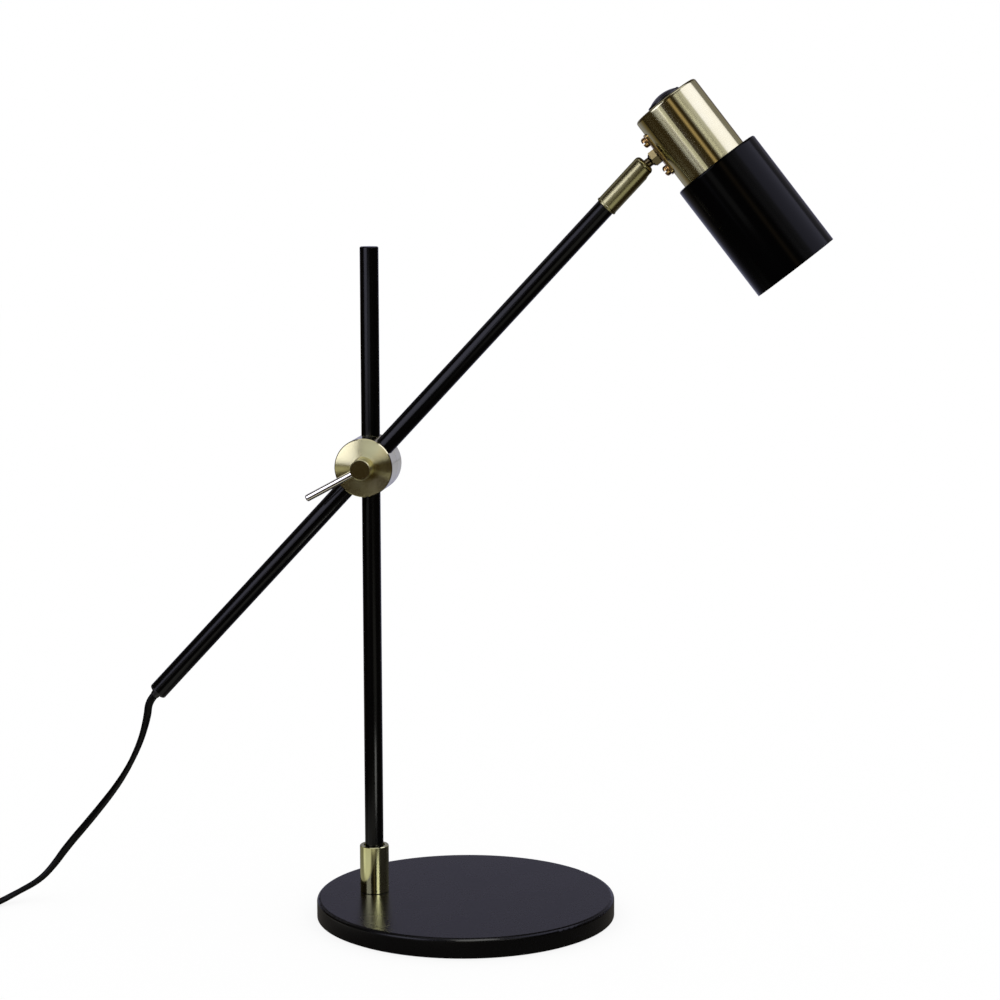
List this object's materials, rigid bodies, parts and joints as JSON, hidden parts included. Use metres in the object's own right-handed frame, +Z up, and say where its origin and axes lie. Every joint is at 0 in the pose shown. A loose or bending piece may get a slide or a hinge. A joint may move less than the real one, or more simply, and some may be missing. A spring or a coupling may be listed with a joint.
{
  "type": "desk lamp",
  "caption": "Desk lamp with a weighted round base, an off-centre mast, an arm clamped to it by a levered drum hub, and a cylindrical head on a slotted ball joint.",
  "frame": {"origin": "middle of the base's underside, on the table", "axes": "+Z up; +X from the mast towards the head's side; the hub's front face and clamp lever look towards -Y"},
  "size_m": [0.6909, 0.2255, 0.5692],
  "materials": {
    "black_paint": "satin",
    "black_shade": "satin black paint",
    "cast_iron": "as cast",
    "pad_rubber": "matt",
    "steel": "zinc plated",
    "brass": "brushed and lacquered",
    "nylon": "matt",
    "black_plastic": "satin",
    "switch_plastic": "gloss",
    "cord_sheath": "satin",
    "tie_band": "matt",
    "cap_metal": "bright",
    "bulb_glass": "opal"
  },
  "bodies": {
    "base": {"base_cover": "black_paint", "base_weight": "cast_iron", "base_pad": "pad_rubber", "base_bolt": "steel", "base_washer": "steel", "mast_collar": "brass", "collar_set_screw": "steel", "mast_lower": "black_paint", "mast_upper": "black_paint", "mast_cap": "black_paint", "hub_rear": "brass", "friction_washer": "nylon", "cord_free": "cord_sheath", "cord_coil": "cord_sheath", "cord_tie": "tie_band", "plug_body": "black_plastic", "plug_pins": "steel"},
    "lever": {"clamp_screw": "brass", "thrust_washer": "brass", "lever_rod": "brass"},
    "arm": {"hub_front": "brass", "arm_lower": "black_paint", "arm_upper": "black_paint", "cord_bush": "black_plastic", "arm_lead": "cord_sheath", "arm_nipple": "steel", "nipple_nut": "steel"},
    "socket": {"socket_sleeve": "brass", "socket_cap": "brass", "seat_screw": "brass", "seat_spring": "steel", "ball_seat": "nylon"},
    "head": {"ball_stem": "brass", "stem_nut": "brass", "saddle_plate": "brass", "saddle_screws": "brass", "saddle_nuts": "brass", "holder_bracket": "steel", "holder_screw": "steel", "head_cup": "brass", "shade": "black_shade", "lamp_holder": "black_plastic", "screw_shell": "brass", "centre_contact": "brass", "shade_ring": "black_plastic", "bulb_cap": "cap_metal", "bulb_globe": "bulb_glass", "switch_housing": "switch_plastic", "switch_nut": "black_plastic", "head_lead": "cord_sheath", "switch_wires": "cord_sheath"},
    "button": {"switch_button": "switch_plastic"}
  },
  "joints": [
    {"name": "arm_tilt", "type": "hinge", "parent": "base", "child": "arm", "pos_m": [-0.064, -0.0175, 0.3129], "axis": [0, -1, 0], "range_deg": [-70, 40]},
    {"name": "lever_turn", "type": "hinge", "parent": "base", "child": "lever", "pos_m": [-0.064, -0.0175, 0.3129], "axis": [0, -1, 0], "range_deg": [-15, 90]},
    {"name": "head_swivel", "type": "hinge", "parent": "arm", "child": "socket", "pos_m": [0.12075, -0.0175, 0.51171], "axis": [0.6807, 0, 0.7325], "range_deg": [-160, 160]},
    {"name": "head_tilt", "type": "hinge", "parent": "socket", "child": "head", "pos_m": [0.12075, -0.0175, 0.51171], "axis": [0, -1, 0], "range_deg": [-76, 27]},
    {"name": "switch_press", "type": "slide", "parent": "head", "child": "button", "axis": [0.6157, 0, -0.788], "range_m": [0, 0.0025], "stiffness_N_per_m": 1200, "springref_m": -0.001}
  ]
}
